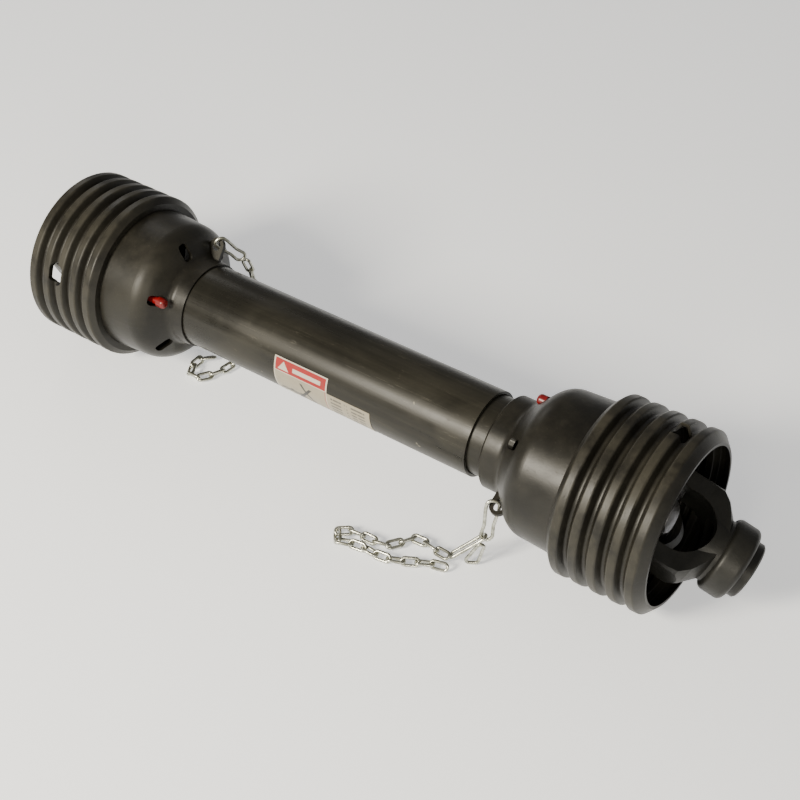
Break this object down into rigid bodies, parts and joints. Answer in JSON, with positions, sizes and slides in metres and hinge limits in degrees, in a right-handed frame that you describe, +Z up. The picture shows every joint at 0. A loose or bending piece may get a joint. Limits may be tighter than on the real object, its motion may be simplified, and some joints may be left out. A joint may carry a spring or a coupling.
{
  "type": "universal joint shaft",
  "caption": "Telescopic universal joint drive shaft with tilting yokes, splined bores, ribbed black plastic guards and safety chains.",
  "frame": {"origin": "on the floor, at the middle of the bounding box", "axes": "+X along the drive axis towards the end on the inner tubes, +Z up"},
  "size_m": [0.794, 0.2047, 0.163],
  "materials": {
    "guard_plastic": "satin moulded black",
    "plug_plastic": "red",
    "bearing_plastic": "natural nylon",
    "label_film": "printed film, red band over a pale panel",
    "zinc_wire": "zinc plated",
    "forged_steel": "black painted forging",
    "tube_steel": "drawn, oiled",
    "bearing_steel": "ground",
    "spring_steel": "dark, phosphated",
    "seal_rubber": "black",
    "grease_brass": "plated"
  },
  "bodies": {
    "far_guard": {"outer_guard_tube": "guard_plastic", "far_guard_cone": "guard_plastic", "far_ribbed_collar": "guard_plastic", "far_guard_bearing": "bearing_plastic", "far_lock_plugs": "plug_plastic", "safety_label": "label_film", "far_chain_link": "zinc_wire", "far_chain": "zinc_wire"},
    "near_guard": {"inner_guard_tube": "guard_plastic", "near_guard_cone": "guard_plastic", "near_ribbed_collar": "guard_plastic", "near_guard_bearing": "bearing_plastic", "near_lock_plugs": "plug_plastic", "near_chain_link": "zinc_wire", "near_chain_snap": "zinc_wire", "near_chain": "zinc_wire"},
    "far_shaft": {"outer_profile_tube": "tube_steel", "far_inner_yoke": "forged_steel", "far_roll_pin": "spring_steel", "far_inner_bearing_caps": "bearing_steel", "far_inner_circlips": "spring_steel", "far_inner_needle_sleeves": "bearing_steel"},
    "far_joint_cross": {"far_cross": "bearing_steel", "far_grease_nipple": "grease_brass", "far_cross_seals": "seal_rubber"},
    "far_yoke": {"far_outer_yoke": "forged_steel", "far_push_pin_bush": "bearing_steel", "far_push_pin_spring": "spring_steel", "far_outer_bearing_caps": "bearing_steel", "far_outer_circlips": "spring_steel", "far_outer_needle_sleeves": "bearing_steel"},
    "far_lock_pin": {"far_push_pin": "bearing_steel"},
    "near_shaft": {"inner_profile_tube": "tube_steel", "near_inner_yoke": "forged_steel", "near_roll_pin": "spring_steel", "near_inner_bearing_caps": "bearing_steel", "near_inner_circlips": "spring_steel", "near_inner_needle_sleeves": "bearing_steel"},
    "near_joint_cross": {"near_cross": "bearing_steel", "near_grease_nipple": "grease_brass", "near_cross_seals": "seal_rubber"},
    "near_yoke": {"near_outer_yoke": "forged_steel", "near_push_pin_bush": "bearing_steel", "near_push_pin_spring": "spring_steel", "near_outer_bearing_caps": "bearing_steel", "near_outer_circlips": "spring_steel", "near_outer_needle_sleeves": "bearing_steel"},
    "near_lock_pin": {"near_push_pin": "bearing_steel"}
  },
  "joints": [
    {"name": "shaft_spin", "type": "hinge", "parent": "far_guard", "child": "far_shaft", "pos_m": [0, 0, 0.0815], "axis": [1, 0, 0], "continuous": true},
    {"name": "telescope", "type": "slide", "parent": "far_shaft", "child": "near_shaft", "axis": [1, 0, 0], "range_m": [-0.008, 0.18]},
    {"name": "near_guard_spin", "type": "hinge", "parent": "near_shaft", "child": "near_guard", "pos_m": [0, 0, 0.0815], "axis": [1, 0, 0], "continuous": true},
    {"name": "near_cross_swing", "type": "hinge", "parent": "near_shaft", "child": "near_joint_cross", "pos_m": [0.305, 0, 0.0815], "axis": [0, -0.4226, 0.9063], "range_deg": [-26.73, 29.27]},
    {"name": "near_yoke_swing", "type": "hinge", "parent": "near_joint_cross", "child": "near_yoke", "pos_m": [0.305, 0, 0.0815], "axis": [0.0222, 0.9061, 0.4225], "range_deg": [-50.97, 5.03]},
    {"name": "near_pin_push", "type": "slide", "parent": "near_yoke", "child": "near_lock_pin", "axis": [-0.0222, -0.9061, -0.4225], "range_m": [0, 0.007], "stiffness_N_per_m": 1500, "springref_m": -0.008, "deforming": ["near_push_pin_spring"]},
    {"name": "far_cross_swing", "type": "hinge", "parent": "far_shaft", "child": "far_joint_cross", "pos_m": [-0.305, 0, 0.0815], "axis": [0, -0.4226, 0.9063], "range_deg": [-14.98, 41.02]},
    {"name": "far_yoke_swing", "type": "hinge", "parent": "far_joint_cross", "child": "far_yoke", "pos_m": [-0.305, 0, 0.0815], "axis": [-0.2252, -0.883, -0.4118], "range_deg": [-47.13, 8.87]},
    {"name": "far_pin_push", "type": "slide", "parent": "far_yoke", "child": "far_lock_pin", "axis": [0.2252, 0.883, 0.4118], "range_m": [0, 0.007], "stiffness_N_per_m": 1500, "springref_m": -0.008, "deforming": ["far_push_pin_spring"]}
  ]
}
